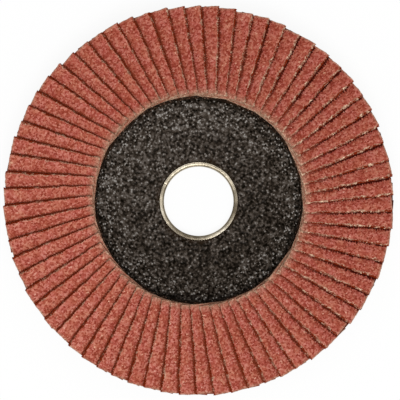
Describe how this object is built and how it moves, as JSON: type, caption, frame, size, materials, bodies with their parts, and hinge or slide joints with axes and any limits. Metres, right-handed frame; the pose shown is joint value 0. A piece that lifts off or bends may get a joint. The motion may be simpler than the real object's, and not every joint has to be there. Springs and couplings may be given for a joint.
{
  "type": "flap disc",
  "caption": "Sanding and grinding disc: tilted, overlapping flaps of coated cloth fanned round a dished black backing plate with a metal-lined arbor hole.",
  "frame": {"origin": "centre of the arbor hole in the plane of the hub's back face", "axes": "+Z along the axis of the arbor hole, from the hub's back to the abrasive side; +X along the length of the first flap"},
  "size_m": [0.125, 0.1248, 0.0141],
  "materials": {
    "plate_resin": "satin, woven glass cloth under resin",
    "ring_metal": "satin, brass-coloured sheet metal",
    "adhesive": "cured resin glue",
    "coated_cloth": "gritty, bonded abrasive grain on tan cloth"
  },
  "bodies": {
    "root": {"backing_plate": "plate_resin", "centre_ring": "ring_metal", "adhesive_ring": "adhesive", "flaps_01": "coated_cloth", "flaps_02": "coated_cloth", "flaps_03": "coated_cloth", "flaps_04": "coated_cloth", "flaps_05": "coated_cloth", "flaps_06": "coated_cloth", "flaps_07": "coated_cloth", "flaps_08": "coated_cloth", "flaps_09": "coated_cloth", "flaps_10": "coated_cloth", "flaps_11": "coated_cloth", "flaps_12": "coated_cloth", "flaps_13": "coated_cloth", "flaps_14": "coated_cloth", "flaps_15": "coated_cloth", "flaps_16": "coated_cloth", "flaps_17": "coated_cloth", "flaps_18": "coated_cloth", "flaps_19": "coated_cloth", "flaps_20": "coated_cloth", "flaps_21": "coated_cloth", "flaps_22": "coated_cloth", "flaps_23": "coated_cloth", "flaps_24": "coated_cloth", "flaps_25": "coated_cloth", "flaps_26": "coated_cloth", "flaps_27": "coated_cloth", "flaps_28": "coated_cloth", "flaps_29": "coated_cloth", "flaps_30": "coated_cloth", "flaps_31": "coated_cloth", "flaps_32": "coated_cloth", "flaps_33": "coated_cloth", "flaps_34": "coated_cloth", "flaps_35": "coated_cloth"}
  },
  "joints": []
}
